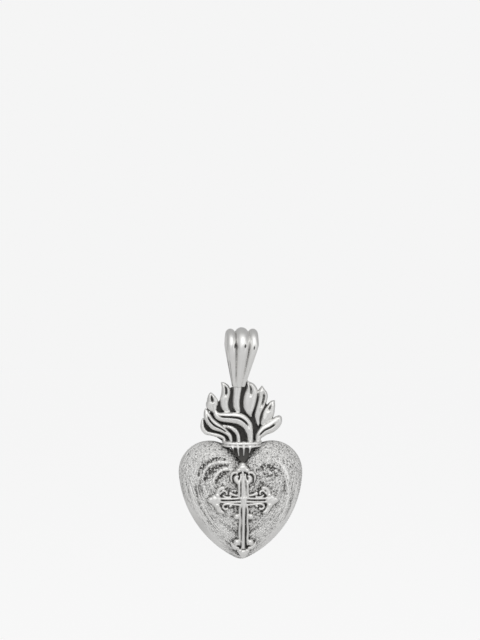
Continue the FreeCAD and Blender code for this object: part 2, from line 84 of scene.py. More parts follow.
def smooth_line(points, count):
    """Catmull-Rom line through points of any number of values, at even steps of the first two."""
    points = [np.array(point, float) for point in points]
    points = [2 * points[0] - points[1]] + points + [2 * points[-1] - points[-2]]
    fine = []
    for a, b, c, d in zip(points, points[1:], points[2:], points[3:]):
        for t in np.arange(0, 1, 0.05):
            fine.append(0.5 * (2 * b + (c - a) * t + (2 * a - 5 * b + 4 * c - d) * t**2
                               + (3 * b - a - 3 * c + d) * t**3))
    fine = np.array(fine + [points[-2]])
    steps = np.linalg.norm(np.diff(fine[:, :2], axis=0), axis=1)
    along = np.concatenate([[0], np.cumsum(steps)])
    even = np.linspace(0, along[-1], count)
    return np.array([np.interp(even, along, column) for column in fine.T]).T


def stations(path):
    """Points and half widths of a line drawn on the front, with the direction across it."""
    for n, (x, height, width) in enumerate(path):
        ahead = path[min(n + 1, len(path) - 1)] - path[max(n - 1, 0)]
        along = Vector((ahead[0], 0, ahead[1])).normalized()
        yield x, height, width, Vector((along.z, 0, -along.x))


def sweep(mesh, spots, section, sides):
    """Closed skin over a line of (place, out, up, width); section gives distances out and up."""
    last = len(spots) + 1
    grid = bmesh.ops.create_grid(mesh, x_segments=sides, y_segments=last, size=1)
    for vert in grid["verts"]:
        around = (vert.co.x + 1) / 2
        row = round((vert.co.y + 1) / 2 * last)
        index = min(max(row - 1, 0), last - 2)
        place, out, up, width = spots[index]
        if row in (0, last):
            vert.co = place * MM
            continue
        aside, rise = section(around, index / (last - 2), width)
        vert.co = (place + out * aside + up * rise) * MM


def signed_power(value, power):
    return math.copysign(abs(value)**power, value)


def oval(wide, tall):
    """Section of an ellipse, as shares of the width."""
    def section(around, t, width):
        turn = 2 * math.pi * around
        return wide * width * math.cos(turn), tall * width * math.sin(turn)
    return section


def finish_mesh(name, mesh):
    """Merge the seams, turn the faces outwards and make the object."""
    bmesh.ops.remove_doubles(mesh, verts=mesh.verts, dist=SEAM * MM)
    bmesh.ops.recalc_face_normals(mesh, faces=mesh.faces)
    data = bpy.data.meshes.new(name)
    mesh.to_mesh(data)
    mesh.free()
    piece = bpy.data.objects.new(name, data)
    bpy.context.scene.collection.objects.link(piece)
    return piece


def settled(piece):
    """The piece with its modifiers applied."""
    graph = bpy.context.evaluated_depsgraph_get()
    data = bpy.data.meshes.new_from_object(piece.evaluated_get(graph))
    piece.modifiers.clear()
    piece.data = data
    data.name = piece.name
    return piece


def shade_smooth(piece):
    for face in piece.data.polygons:
        face.use_smooth = True
    return piece


def cast_in_one(piece, grain, rounds, faces):
    """Fuse overlapping skins into one casting, soften its corners and thin its flat parts."""
    remesh = piece.modifiers.new("cast", "REMESH")
    remesh.mode = "VOXEL"
    remesh.voxel_size = grain * MM
    soften = piece.modifiers.new("soften", "SMOOTH")
    soften.factor = 0.5
    soften.iterations = rounds
    settled(piece)
    count = sum(len(face.vertices) - 2 for face in piece.data.polygons)
    if count > faces:
        thin = piece.modifiers.new("thin", "DECIMATE")
        thin.ratio = faces / count
        settled(piece)
    return shade_smooth(piece)


# Flames: depth of root and tip, groove, line. The line's points are the distance right,
# the height above FLAME_FOOT and the half width.
# A groove is its depth, its place across, its half width and where it starts and ends.
FLAMES = {
    "left_leaf": (
        -0.15, -0.2, (0.9, 0.0, 0.2, 0.5, 0.9),
        [(-4.95, 6.11, 0.31), (-5.33, 6.62, 0.67), (-5.72, 7.48, 1.09), (-5.63, 8.2, 1.1),
         (-5.77, 8.97, 0.86), (-5.91, 9.7, 0.45), (-5.92, 10.17, 0)]),
    "left_hook": (
        -0.05, -0.15, (0.8, 0.0, 0.2, 0.5, 0.9),
        [(-2.32, 6.25, 0.38), (-2.93, 6.78, 0.65), (-3.27, 7.61, 0.79), (-3.29, 8.57, 0.85),
         (-3.09, 9.39, 0.85), (-2.95, 10.28, 0.84), (-3.09, 11.06, 0.74), (-3.56, 11.74, 0.37),
         (-3.99, 12.13, 0)]),
    "middle": (
        0, -0.1, None,
        [(-0.49, 6.18, 0.42), (-0.67, 6.65, 0.58), (-0.89, 7.34, 0.68), (-0.95, 8.16, 0.7),
         (-0.93, 8.98, 0.73), (-0.82, 9.94, 0.75), (-0.73, 10.87, 0.84), (-0.66, 11.7, 0.78)]),
    "tall_leaf": (
        -0.25, -0.2, (0.7, -0.1, 0.14, 0.5, 0.9),
        [(1.89, 5.24, 0.1), (1.79, 5.66, 0.38), (1.59, 6.38, 0.79), (1.55, 7.27, 1.12),
         (1.65, 8.23, 1.27), (1.83, 9.19, 1.3), (2.03, 10.22, 1.23), (1.83, 11.21, 0.89),
         (1.28, 12.04, 0.3), (1, 12.82, 0)]),
    "right_leaf": (
        -0.2, -0.2, (0.7, 0.15, 0.2, 0.45, 0.88),
        [(3.35, 3.44, 0.05), (3.3, 3.92, 0.31), (3.22, 4.74, 0.5), (3.2, 5.63, 0.66),
         (3.4, 6.45, 0.69), (3.78, 7.41, 0.79), (4.12, 8.5, 0.86), (4.27, 9.46, 0.91),
         (4.07, 10.32, 0.74), (4.07, 11, 0.33), (4.09, 11.45, 0)]),
    "right_lean": (
        -0.35, -0.2, (0.6, -0.2, 0.16, 0.5, 0.85),
        [(3.95, 3.78, 0.22), (4.31, 4.43, 0.55), (4.89, 5.22, 0.97), (5.37, 6.18, 1.11),
         (5.76, 7.13, 0.86), (6.19, 8.06, 0.5), (6.65, 8.57, 0)]),
    "right_low": (
        -0.75, -0.35, (0.85, 0.0, 0.12, 0.15, 0.8),
        [(3.0, 0.2, 0.38), (3.16, 0.73, 0.45), (3.37, 1.52, 0.62), (3.88, 2.2, 0.84),
         (4.7, 2.86, 1.01), (5.83, 3.4, 1.12), (6.84, 4.26, 1.04), (7.37, 5.11, 0.66),
         (7.54, 5.59, 0.2)]),
    "left_low": (
        -0.75, -0.3, None,
        [(-3.3, 0.55, 0.26), (-3.4, 1.1, 0.3), (-3.85, 1.5, 0.3), (-4.82, 1.82, 0.35),
         (-5.91, 2.06, 0.3), (-6.88, 2.33, 0.38), (-7.49, 3.09, 0.38), (-7.61, 3.92, 0.3),
         (-7.55, 4.74, 0.18), (-7.49, 5.22, 0)]),
    "left_ribbon": (
        -0.95, -0.4, (0.85, 0.0, 0.14, 0.2, 0.88),
        [(-2.0, 0.1, 0.24), (-2.03, 0.73, 0.25), (-2.33, 1.75, 0.38), (-3.0, 2.4, 0.45),
         (-4.03, 3.08, 0.68), (-5.26, 3.71, 0.9), (-6.13, 4.57, 0.83), (-6.63, 5.53, 0.69),
         (-6.9, 6.48, 0.36), (-7.02, 7.07, 0)]),
    "curl": (
        -0.95, -0.65, None,
        [(-0.52, 0.1, 0.34), (-0.56, 0.7, 0.36), (-0.69, 1.76, 0.36), (-1.12, 2.58, 0.4),
         (-1.97, 3.16, 0.42), (-2.97, 3.54, 0.24), (-4.03, 3.88, 0)]),
    "swirl": (
        -1, -0.6, (0.95, 0.08, 0.13, 0.25, 0.9),
        [(1.72, 0.1, 0.5), (1.7, 0.7, 0.53), (1.65, 1.76, 0.59), (1.48, 2.65, 0.75),
         (1.18, 3.57, 0.95), (0.56, 4.36, 1.07), (-0.45, 4.98, 1.13), (-1.84, 5.2, 1.04),
         (-3.17, 5.27, 0.94), (-4.23, 5.42, 0.83), (-4.92, 5.97, 0.56), (-5.23, 7, 0)]),
}

# Corners of the plate behind the flames: distance right and height above FLAME_FOOT.
FLAME_GROUND = [
    (-3.0, 0.2), (-5.6, 1.9), (-7.2, 2.7), (-7.3, 4.6), (-6.3, 5.8), (-5.4, 7.4), (-4.6, 8.2),
    (-2.6, 9.9), (-2.1, 11.0), (-1.2, 11.4), (0.3, 11.3), (0.8, 12.3), (1.4, 12.0), (2.4, 10.4),
    (4.2, 9.2), (5.4, 7.2), (5.6, 5.0), (4.6, 2.4), (3.2, 0.2),
]
FLAME_STATIONS, FLAME_SIDES, FLAME_WIDENING = 56, 64, 0.05

# Dark lines between flames that touch: distance right, height from the bore, half width.
FLAME_GAPS = [
    [(3.74, -14.6, 0.16), (3.64, -13.55, 0.17), (3.95, -12.5, 0.17), (4.6, -11.45, 0.15),
     (5.35, -10.65, 0.12)],
    [(3.2, -8.75, 0.12), (3.15, -9.6, 0.15), (3.0, -10.7, 0.17), (2.55, -11.85, 0.17), (2.1, -12.8, 0.2)],
    [(-3.0, -14.9, 0.08), (-2.35, -15.4, 0.13), (-1.75, -16.1, 0.17), (-1.4, -17.0, 0.2),
     (-1.3, -17.7, 0.2)],
]


def flame_section(groove):
    """Rounded tongue with a flatter back, and a groove along part of its front."""
    def section(around, t, width):
        turn = 2 * math.pi * around
        out, up = math.cos(turn), math.sin(turn)
        if up < 0:
            return out * width, up * min(0.75, width)
        crest = min(1.05, 0.25 + width) * up**0.8
        if groove:
            depth, place, half, start, end = groove
            window = min(1, max(0, (t - start) * 8)) * min(1, max(0, (end - t) * 8))
            crest -= depth * window * math.exp(-((out - place) / half)**2) * min(1, width / 0.5)
        return out * width, crest
    return section


def add_flame(mesh, root, tip, groove, line):
    """One tongue, a little wider than drawn except at its point."""
    path = smooth_line(line, FLAME_STATIONS)
    path[:, 2] += FLAME_WIDENING * np.minimum(1, path[:, 2] / 0.3)
    spots = []
    for n, (x, height, width, across) in enumerate(stations(path)):
        depth = root + (tip - root) * n / (len(path) - 1)
        spots.append((Vector((x, depth, height + FLAME_FOOT)), across, FRONT, max(width, 0.02)))
    sweep(mesh, spots, flame_section(groove), FLAME_SIDES)


def add_ground(mesh):
    """Plate that the flames stand out from."""
    low, high = 0.05, 0.6
    corners = [mesh.verts.new(Vector((x, high, z + FLAME_FOOT)) * MM) for x, z in FLAME_GROUND]
    plate = mesh.faces.new(corners)
    raised = bmesh.ops.extrude_face_region(mesh, geom=[plate])
    lifted = [item for item in raised["geom"] if isinstance(item, bmesh.types.BMVert)]
    bmesh.ops.translate(mesh, verts=lifted, vec=Vector((0, low - high, 0)) * MM)


def add_collar(mesh):
    """Oval band with two round ridges, tilted so that its front dips."""
    segments, around = 160, 48
    tilt = Matrix.Rotation(COLLAR_TILT, 3, "X")
    grid = bmesh.ops.create_grid(mesh, x_segments=around, y_segments=segments, size=1)
    for vert in grid["verts"]:
        turn = math.pi * (vert.co.y + 1)
        out = Vector((math.sin(turn), -math.cos(turn), 0))
        middle = Vector((COLLAR_HALF_WIDTH * signed_power(out.x, COLLAR_SQUARENESS),
                         COLLAR_HALF_DEPTH * signed_power(out.y, COLLAR_SQUARENESS), -COLLAR_SINK))
        cycle = math.pi * (vert.co.x + 1)
        side = COLLAR_BAND * math.cos(cycle)
        up = COLLAR_HALF_HEIGHT * math.sin(cycle)
        if side > 0:
            side -= COLLAR_GROOVE_DEPTH * math.exp(-(up / COLLAR_GROOVE_HALF)**2)
        else:
            side *= COLLAR_LINING
        vert.co = (tilt @ (middle + out * side + Vector((0, 0, up))) + COLLAR_CENTRE) * MM


# Ribs of the cone. In front: distance right at the collar and at the foot, and the foot's
# height. At the sides and back: degrees round from the front.
FRONT_RIBS = [(-2.1, -1.62, -20.3), (-0.95, -0.68, -20.75), (0.3, 0.22, -20.75), (1.75, 1.3, -20.2)]
BACK_RIBS = (90, 120, 150, 180, 210, 240, 270)


def cone_share(down):
    """Size of the core against CONE_WIDTH and CONE_DEPTH, at a share of the way down."""
    return 1.12 - 0.95 * down


def add_rib(mesh, start, belly, end, widths):
    path = smooth_line([(*place, width) for place, width in zip((start, belly, end), widths)], 24)
    spots = [(Vector(row[:3]), RIGHT, FRONT, row[3]) for row in path]
    sweep(mesh, spots, oval(1, 1.5), 20)


def add_cone(mesh):
    """Core and round ribs that run down from the collar into the cleft."""
    core = [(CONE_TOP + (CONE_FOOT - CONE_TOP) * t, RIGHT, FRONT, cone_share(t))
            for t in np.linspace(0, 1, 12)]
    sweep(mesh, core, oval(CONE_WIDTH, CONE_DEPTH), 48)
    for high, low, base in FRONT_RIBS:
        share = (CONE_TOP.z - base) / (CONE_TOP.z - CONE_FOOT.z)
        bulge = CONE_DEPTH * math.sqrt(1 - (high / 2.7)**2)
        start = Vector((high, COLLAR_CENTRE.y - bulge, COLLAR_CENTRE.z))
        middle = CONE_TOP.y + (CONE_FOOT.y - CONE_TOP.y) * share
        end = Vector((low, middle - CONE_DEPTH * cone_share(share), base))
        add_rib(mesh, start, (start + end) / 2 + Vector((0, -0.2, 0)), end, (0.3, 0.28, 0.12))
    for turn in BACK_RIBS:
        way = math.radians(turn)
        start = COLLAR_CENTRE + Vector((2.6 * math.sin(way), -1.72 * math.cos(way), 0.1))
        end = CONE_TIP + Vector((0.28 * math.sin(way), 0.1, 0.25))
        belly = (start + end) / 2 + Vector((0.3 * math.sin(way), -0.12, 0))
        add_rib(mesh, start, belly, end, (0.27, 0.22, 0.06))


def make_crown():
    mesh = bmesh.new()
    for root, tip, groove, line in FLAMES.values():
        add_flame(mesh, root, tip, groove, line)
    add_ground(mesh)
    add_collar(mesh)
    add_cone(mesh)
    return cast_in_one(finish_mesh("flames_and_collar", mesh), grain=0.085, rounds=3, faces=185000)


# Heart

def heart_outline(count):
    """Points at even steps round the heart, about its centre, from the cleft to the right."""
    lobe = np.array([HEART_WIDTH / 2 - LOBE_RADIUS, LOBE_RISE])
    tip = np.array([0, TIP_RADIUS - TIP_DROP])
    cleft = np.array([0, lobe[1] + math.sqrt((LOBE_RADIUS + CLEFT_RADIUS)**2 - lobe[0]**2)])
    way = tip - lobe
    length = np.linalg.norm(way)
    reach_lobe, reach_tip = SIDE_RADIUS - LOBE_RADIUS, SIDE_RADIUS - TIP_RADIUS
    along = (reach_lobe**2 - reach_tip**2 + length**2) / (2 * length)
    aside = math.sqrt(reach_lobe**2 - along**2)
    way /= length
    side = lobe + way * along + np.array([way[1], -way[0]]) * aside

    def arc(centre, radius, start, end, turn):
        first = math.atan2(*(start - centre)[::-1])
        last = math.atan2(*(end - centre)[::-1])
        while (last - first) * turn < 0:
            last += turn * 2 * math.pi
        angles = np.linspace(first, last, 400)
        return centre + radius * np.array([np.cos(angles), np.sin(angles)]).T

    lobe_top = lobe + (cleft - lobe) / np.linalg.norm(cleft - lobe) * LOBE_RADIUS
    lobe_side = lobe + (lobe - side) / np.linalg.norm(lobe - side) * LOBE_RADIUS
    tip_side = tip + (tip - side) / np.linalg.norm(tip - side) * TIP_RADIUS
    right = np.concatenate([
        arc(cleft, CLEFT_RADIUS, cleft - [0, CLEFT_RADIUS], lobe_top, 1),
        arc(lobe, LOBE_RADIUS, lobe_top, lobe_side, -1),
        arc(side, SIDE_RADIUS, lobe_side, tip_side, -1),
        arc(tip, TIP_RADIUS, tip_side, tip - [0, TIP_RADIUS], -1),
    ])
    line = np.concatenate([right, right[::-1] * [-1, 1]])
    steps = np.linalg.norm(np.diff(line, axis=0), axis=1)
    line_along = np.concatenate([[0], np.cumsum(steps)])
    even = np.linspace(0, line_along[-1], count + 1)
    return np.array([np.interp(even, line_along, column) for column in line.T]).T


# Chased marks on the heart: depth (below 0 stands out), tarnish (patina in the sunk marks, and below 0 a
# painted highlight on the raised ones), then points of distance right, height from the bore and half
# width.
MARKS = [
    (0.3, 0.9, [(-8.6, -24.6, 0.1), (-8.1, -23.3, 0.3), (-7.1, -22.1, 0.42), (-5.8, -21.5, 0.36),
                (-4.4, -21.3, 0.24), (-3.2, -21.4, 0.08)]),
    (-0.22, -0.9, [(-7.8, -24.5, 0.1), (-7.2, -23.4, 0.17), (-6.3, -22.4, 0.19), (-5.0, -21.9, 0.2),
                  (-3.6, -21.85, 0.2), (-2.6, -22.0, 0.1)]),
    (0.34, 1.1, [(-7.3, -25.3, 0.2), (-6.7, -24.2, 0.5), (-5.9, -23.3, 0.55), (-4.9, -22.75, 0.32),
                 (-3.7, -22.5, 0.16), (-2.7, -22.5, 0.05)]),
    (-0.22, -0.9, [(-5.8, -25.8, 0.1), (-5.3, -24.7, 0.17), (-4.6, -23.8, 0.19), (-3.6, -23.25, 0.2),
                  (-2.8, -23.15, 0.18), (-2.0, -23.4, 0.1)]),
    (0.3, 1.0, [(-5.2, -25.9, 0.15), (-4.6, -24.9, 0.4), (-3.9, -24.2, 0.42), (-3.0, -23.8, 0.24),
                (-2.1, -23.8, 0.08)]),
    (0.2, 0.9, [(3.1, -23.6, 0.1), (3.6, -22.9, 0.36), (4.6, -22.6, 0.5), (5.6, -23.0, 0.5),
                (6.4, -23.9, 0.3), (6.7, -24.7, 0.1)]),
    (0.12, 0.4, [(3.6, -24.6, 0.2), (4.4, -24.0, 0.5), (5.4, -24.6, 0.4), (5.9, -25.8, 0.2)]),
    (-0.13, -0.55, [(6.4, -21.6, 0.1), (7.6, -22.3, 0.22), (8.6, -23.6, 0.26), (9.2, -25.3, 0.2)]),
    (0.08, 0.45, [(7.0, -23.2, 0.15), (7.9, -24.6, 0.3), (8.3, -26.3, 0.3), (8.2, -28.2, 0.15)]),
    (-0.12, -0.55, [(8.4, -25.2, 0.1), (9.0, -27.2, 0.2), (8.9, -29.4, 0.2), (8.1, -31.8, 0.2),
                    (6.8, -34.2, 0.1)]),
    (0.07, 0.45, [(9.6, -26.2, 0.1), (9.8, -28.2, 0.2), (9.3, -30.6, 0.2), (8.3, -33.0, 0.1)]),
    (-0.1, -0.5, [(10.4, -25.6, 0.1), (10.6, -27.6, 0.2), (10.2, -29.8, 0.2), (9.2, -32.4, 0.1)]),
    (-0.11, -0.5, [(-9.9, -25.2, 0.1), (-10.0, -27.2, 0.2), (-9.4, -29.6, 0.2), (-8.0, -32.2, 0.2),
                   (-6.2, -34.8, 0.1)]),
    (0.07, 0.4, [(-9.0, -26.0, 0.1), (-8.9, -27.8, 0.22), (-8.2, -30.0, 0.22), (-7.0, -32.4, 0.1)]),
]
# Patches on the sanded front: distance right, height, reach across and up, strength. Above 0 they darken
# it with patina and painted shade; below 0 they lighten it with painted light on the upper lobes.
PATINA_AND_PAINTED_LIGHT = [
    (0.0, -27.5, 5.0, 3.4, 0.2), (0.2, -33.5, 3.2, 4.2, 0.2), (-8.2, -26.0, 1.2, 0.8, 0.35),
    (-3.4, -26.6, 2.2, 1.2, 0.25), (3.2, -26.0, 1.8, 2.2, 0.3), (2.6, -33.4, 2.0, 3.0, 0.2),
    (-6.0, -20.3, 3.8, 1.6, -1.6), (5.0, -20.4, 4.2, 1.7, -1.6), (-8.5, -34.8, 2.6, 2.6, 0.5),
    (0.0, -39.7, 1.5, 1.2, 0.7),
    (-6.0, -23.0, 2.8, 1.6, 0.4), (4.9, -23.4, 2.4, 1.5, 0.4), (2.6, -21.7, 1.6, 0.6, -0.5),
    (-9.8, -23.0, 1.8, 2.6, -0.5), (-2.6, -22.0, 1.2, 0.8, -0.5), (9.5, -24.0, 2.0, 2.6, -0.2),
    (-4.4, -18.0, 2.6, 0.35, 0.9), (4.6, -17.9, 2.4, 0.4, 0.9),
]


def mark_fields(x, z):
    """Depth of the chased marks, and their patina and painted highlight, at points of the heart's front.
    """
    depth, tarnish_and_highlight = np.zeros_like(x), np.zeros_like(x)
    for low, dark, line in MARKS:
        nearest = np.zeros_like(x)
        for across, up, half in smooth_line(line, 40):
            reach = ((x - across)**2 + (z - up)**2) / max(half, 0.06)**2
            nearest = np.maximum(nearest, np.exp(-reach))
        depth += low * nearest
        tarnish_and_highlight += dark * nearest
    return depth, tarnish_and_highlight


def edge_distance(x, z, outline):
    """Distance from each point to the nearest of the outline's."""
    nearest = np.full(len(x), HEART_WIDTH)
    for across, up in outline:
        nearest = np.minimum(nearest, np.hypot(x - across, z - up))
    return nearest


def dome_depth(x, z):
    """Y of the dome's surface, for points given from the heart's centre."""
    return DOME_RADIUS - HEART_FRONT - np.sqrt(DOME_RADIUS**2 - x**2 - z**2)


def front_depth(x, z, away):
    """Y of the front: a dome that rolls off at its edge, with a valley below the cleft."""
    inset = np.clip(1 - away / EDGE_REACH, 0, 1)
    front = dome_depth(x, z) + EDGE_DROP * (1 - np.sqrt(1 - inset**2))
    valley = 0.7 * np.exp(-(x / 0.9)**2) * np.clip((z - 4.6) / 2.2, 0, 1)
    marks = mark_fields(x, z + HEART_CENTRE)[0] * np.clip(away / 1.5, 0, 1)
    return np.minimum(front + valley + marks, HEART_BACK - 0.05)


def make_heart():
    """Domed heart with a rounded edge, chased marks and a flat back."""
    around, rings, wall, back = 500, 140, 5, 8
    outline = heart_outline(around)
    rows = []
    centre = np.array([0.0, -1.0])
    for share in np.sin(np.linspace(0, math.pi / 2, rings)):
        rows.append((centre + (outline - centre) * share, "front", share))
    for share in np.linspace(0, 1, wall + 1)[1:]:
        rows.append((outline, "wall", share))
    for share in np.linspace(1, 0, back + 1)[1:]:
        rows.append((centre + (outline - centre) * share, "back", share))

    mesh = bmesh.new()
    grid = bmesh.ops.create_grid(mesh, x_segments=around, y_segments=len(rows) - 1, size=1)
    table = []
    for line, kind, share in rows:
        x, z = line[:, 0], line[:, 1]
        away = edge_distance(x, z, outline[::3]) if share < 0.999 else np.zeros_like(x)
        front = front_depth(x, z, away)
        if kind == "wall":
            y = front + (HEART_BACK - front) * share
        elif kind == "back":
            y = np.full_like(x, HEART_BACK)
        else:
            y = front
        table.append((x, y, z + HEART_CENTRE))
    for vert in grid["verts"]:
        column = round((vert.co.x + 1) / 2 * around)
        row = round((vert.co.y + 1) / 2 * (len(rows) - 1))
        x, y, z = table[row]
        vert.co = Vector((x[column], y[column], z[column])) * MM
    return shade_smooth(finish_mesh("domed_heart", mesh))


# Cross: strokes on the dome. Each is the height of its crest, then a line of distance out,
# height and half width, from the crossing. Those of CROSS_PAIRS come on both sides.
CROSS_CENTRE, CROSS_OFFSET, CROSS_LEAN = -29.27, 0.05, -0.015
CROSS_LINES = [
    (1.0, [(-0.08, 6.6, 0.24), (-0.03, 5.2, 0.24), (0.02, 4.2, 0.22)]),
    (0.75, [(-0.03, 5.2, 0.24), (0.02, 3.6, 0.42), (0.04, 1.9, 0.48), (0.04, 0.6, 0.55)]),
    (1.0, [(0.04, 0.7, 0.3), (0.04, 0.2, 0.64), (0.02, -0.6, 0.56), (0.0, -1.6, 0.36), (-0.05, -4.0, 0.31),
           (-0.08, -7.0, 0.31), (-0.1, -9.4, 0.4)]),
]
CROSS_PAIRS = [
    (0.95, [(0.45, 5.2, 0.16), (0.5, 4.3, 0.18), (0.74, 3.6, 0.22), (0.84, 2.6, 0.24), (0.82, 1.7, 0.24),
            (0.9, 0.9, 0.24), (0.7, 0.5, 0.22)]),
    (0.9, [(0.44, -0.5, 0.18), (0.7, -1.3, 0.22), (0.76, -2.2, 0.22), (0.7, -4.0, 0.21), (0.8, -5.8, 0.23),
           (0.72, -7.4, 0.23), (0.84, -8.7, 0.22)]),
    (0.85, [(0.3, 0.48, 0.2), (0.75, 0.5, 0.22), (2.4, 0.4, 0.2), (4.0, 0.42, 0.2), (4.9, 0.6, 0.2)]),
    (0.85, [(0.3, -0.2, 0.22), (0.8, -0.16, 0.22), (2.4, -0.22, 0.2), (4.0, -0.24, 0.2),
            (4.9, -0.2, 0.24)]),
    (0.75, [(0.75, 1.05, 0.2), (1.5, 1.06, 0.2), (2.1, 1.22, 0.24), (2.62, 1.46, 0.36), (2.8, 1.54, 0.1)]),
    (0.95, [(4.85, 0.8, 0.4), (4.95, 1.35, 0.42), (4.8, 1.95, 0.38), (4.4, 2.35, 0.36), (3.85, 2.45, 0.36),
            (3.5, 2.4, 0.12)]),
    (0.75, [(4.5, 1.25, 0.16), (4.15, 1.7, 0.2), (3.75, 1.92, 0.22), (3.35, 1.75, 0.2), (3.2, 1.35, 0.2),
            (3.4, 1.2, 0.12)]),
    (0.7, [(4.0, 1.15, 0.14), (3.7, 0.88, 0.16), (3.1, 0.68, 0.17), (2.6, 0.74, 0.18), (2.35, 0.9, 0.1)]),
    (0.75, [(0.75, -0.78, 0.22), (1.6, -0.72, 0.19), (2.4, -0.66, 0.18), (3.2, -0.6, 0.2),
            (3.85, -0.82, 0.22), (3.95, -1.25, 0.22), (3.6, -1.6, 0.22), (3.2, -1.55, 0.24),
            (3.1, -1.3, 0.14)]),
    (0.75, [(2.3, -0.76, 0.12), (2.55, -1.02, 0.24), (2.8, -1.18, 0.14)]),
    (0.85, [(4.9, -0.75, 0.26), (4.85, -1.35, 0.46), (4.5, -1.95, 0.42), (3.9, -2.3, 0.26),
            (3.6, -2.4, 0.05)]),
    (1.0, [(1.0, 5.2, 0.18), (1.5, 5.45, 0.26), (2.03, 5.22, 0.26), (2.32, 4.7, 0.24), (2.26, 4.05, 0.18),
           (2.1, 3.5, 0.05)]),
    (1.0, [(0.85, 4.75, 0.2), (1.25, 4.6, 0.38), (1.38, 4.15, 0.46), (1.15, 3.6, 0.3), (0.9, 3.2, 0.16)]),
    (0.85, [(0.85, -9.25, 0.2), (1.4, -9.2, 0.36), (1.95, -8.8, 0.33), (2.3, -8.25, 0.16),
            (2.35, -7.95, 0.03)]),
]
# Round buttons and lobes, on both sides: distance out, height, half width, half height, rise.
CROSS_LOBES = [
    (1.36, -3.02, 0.62, 0.62, 1.2), (1.3, -8.1, 0.66, 0.66, 1.2),
    (0.84, 5.85, 0.56, 0.52, 1.2), (0.0, 6.25, 0.95, 0.8, 1.2), (0.0, 6.85, 0.6, 0.6, 1.2),
    (0.68, -9.8, 0.54, 0.5, 1.15), (0.0, -10.15, 0.95, 0.75, 1.15), (0.0, -10.65, 0.62, 0.62, 1.05),
    (5.05, 1.0, 0.55, 0.5, 1.1), (5.1, -0.9, 0.62, 0.6, 1.1), (5.3, 0.1, 1.1, 1.2, 1.1),
    (5.95, 0.12, 1.0, 0.72, 1.05),
]


def askew(x, height):
    """Distance right of a point of the cross, which leans a little."""
    return x + CROSS_OFFSET + CROSS_LEAN * height


def on_dome(x, height):
    z = height + CROSS_CENTRE
    return Vector((x, dome_depth(x, z - HEART_CENTRE), z))


def add_cross_line(mesh, crest, line, side):
    path = smooth_line([(askew(x * side, height), height, width) for x, height, width in line], 48)
    spots = [(on_dome(x, height), across, FRONT, max(width * 1.1 + 0.02, 0.03))
             for x, height, width, across in stations(path)]

    def section(around, t, width):
        turn = 2 * math.pi * around
        rise = crest * min(1, 0.4 + width * 1.6) * math.sin(turn)
        return width * math.cos(turn), signed_power(rise, 0.7)
    sweep(mesh, spots, section, 24)


def add_lobe(mesh, x, height, wide, tall, rise):
    """Button with steep sides and a gently domed top."""
    centre = on_dome(x, height)
    ball = bmesh.ops.create_icosphere(mesh, subdivisions=4, radius=1)
    for vert in ball["verts"]:
        out = Vector((wide * vert.co.x, rise * signed_power(vert.co.y, 0.6), tall * vert.co.z))
        vert.co = (centre + out) * MM


def make_cross():
    mesh = bmesh.new()
    for crest, line in CROSS_LINES:
        add_cross_line(mesh, crest, line, 1)
    for side in (1, -1):
        for crest, line in CROSS_PAIRS:
            add_cross_line(mesh, crest, line, side)
        for x, height, wide, tall, rise in CROSS_LOBES:
            add_lobe(mesh, askew(x * side, height), height, wide, tall, rise)
    return cast_in_one(finish_mesh("cross_relief", mesh), grain=0.06, rounds=2, faces=170000)


# Bail

def flute_at(index, height):
    """Distance right and radius of a flute, which narrows from the bore to the foot."""
    share = min(1, max(0, (NARROWING_TOP - height) / (NARROWING_TOP + FOOT_DROP)))
    top, foot = MIDDLE_FLUTE if index == 0 else OUTER_FLUTE
    right = FLUTE_OFFSET + index * FLUTE_PITCH
    right += (FOOT_OFFSET + index * FOOT_PITCH - right) * share
    return right, top + (foot - top) * share


def flute_section(around, t, width):
    """Bell shape that comes to a soft ridge."""
    turn = 2 * math.pi * around
    crest = min(width * 0.88, width * 0.5 + 0.4)
    return width * 1.06 * math.cos(turn), crest * signed_power(math.sin(turn), 1.3)


def make_bail():
    """Three flutes round the bore, over a band and a web that narrow to the foot."""
    opening = math.acos(RING_RADIUS / math.hypot(FOOT_DROP, FOOT_DEPTH))
    opening += math.atan2(FOOT_DEPTH, FOOT_DROP)
    mesh = bmesh.new()
    for index in (-1, 0, 1):
        leg = [(-FOOT_DEPTH + (FOOT_DEPTH - RING_RADIUS * math.sin(opening)) * t,
                -FOOT_DROP + (FOOT_DROP - RING_RADIUS * math.cos(opening)) * t, opening)
               for t in np.linspace(0, 1, 26)[:-1]]
        ring = [(-RING_RADIUS * math.sin(turn), -RING_RADIUS * math.cos(turn), turn)
                for turn in np.linspace(opening, 2 * math.pi - opening, 72)]
        back = [(-y, z, 2 * math.pi - turn) for y, z, turn in reversed(leg)]
        framed = []
        for y, z, turn in leg + ring + back:
            x, radius = flute_at(index, z)
            up = Vector((0, -math.sin(turn), -math.cos(turn)))
            framed.append((Vector((x, y, z)), RIGHT, up, radius))
        sweep(mesh, framed, flute_section, 40)
    add_bail_web(mesh)
    piece = cast_in_one(finish_mesh("fluted_bail", mesh), grain=0.075, rounds=4, faces=170000)
    bore = bmesh.new()
    turned = Matrix.Rotation(math.pi / 2, 4, "Y")
    bmesh.ops.create_cone(bore, cap_ends=True, segments=128, radius1=BORE_RADIUS * MM,
                          radius2=BORE_RADIUS * MM, depth=12 * MM, matrix=turned)
    cutter = finish_mesh("bore_cutter", bore)
    hole = piece.modifiers.new("bore", "BOOLEAN")
    hole.operation = "DIFFERENCE"
    hole.object = cutter
    settled(piece)
    bpy.data.objects.remove(cutter)
    return piece


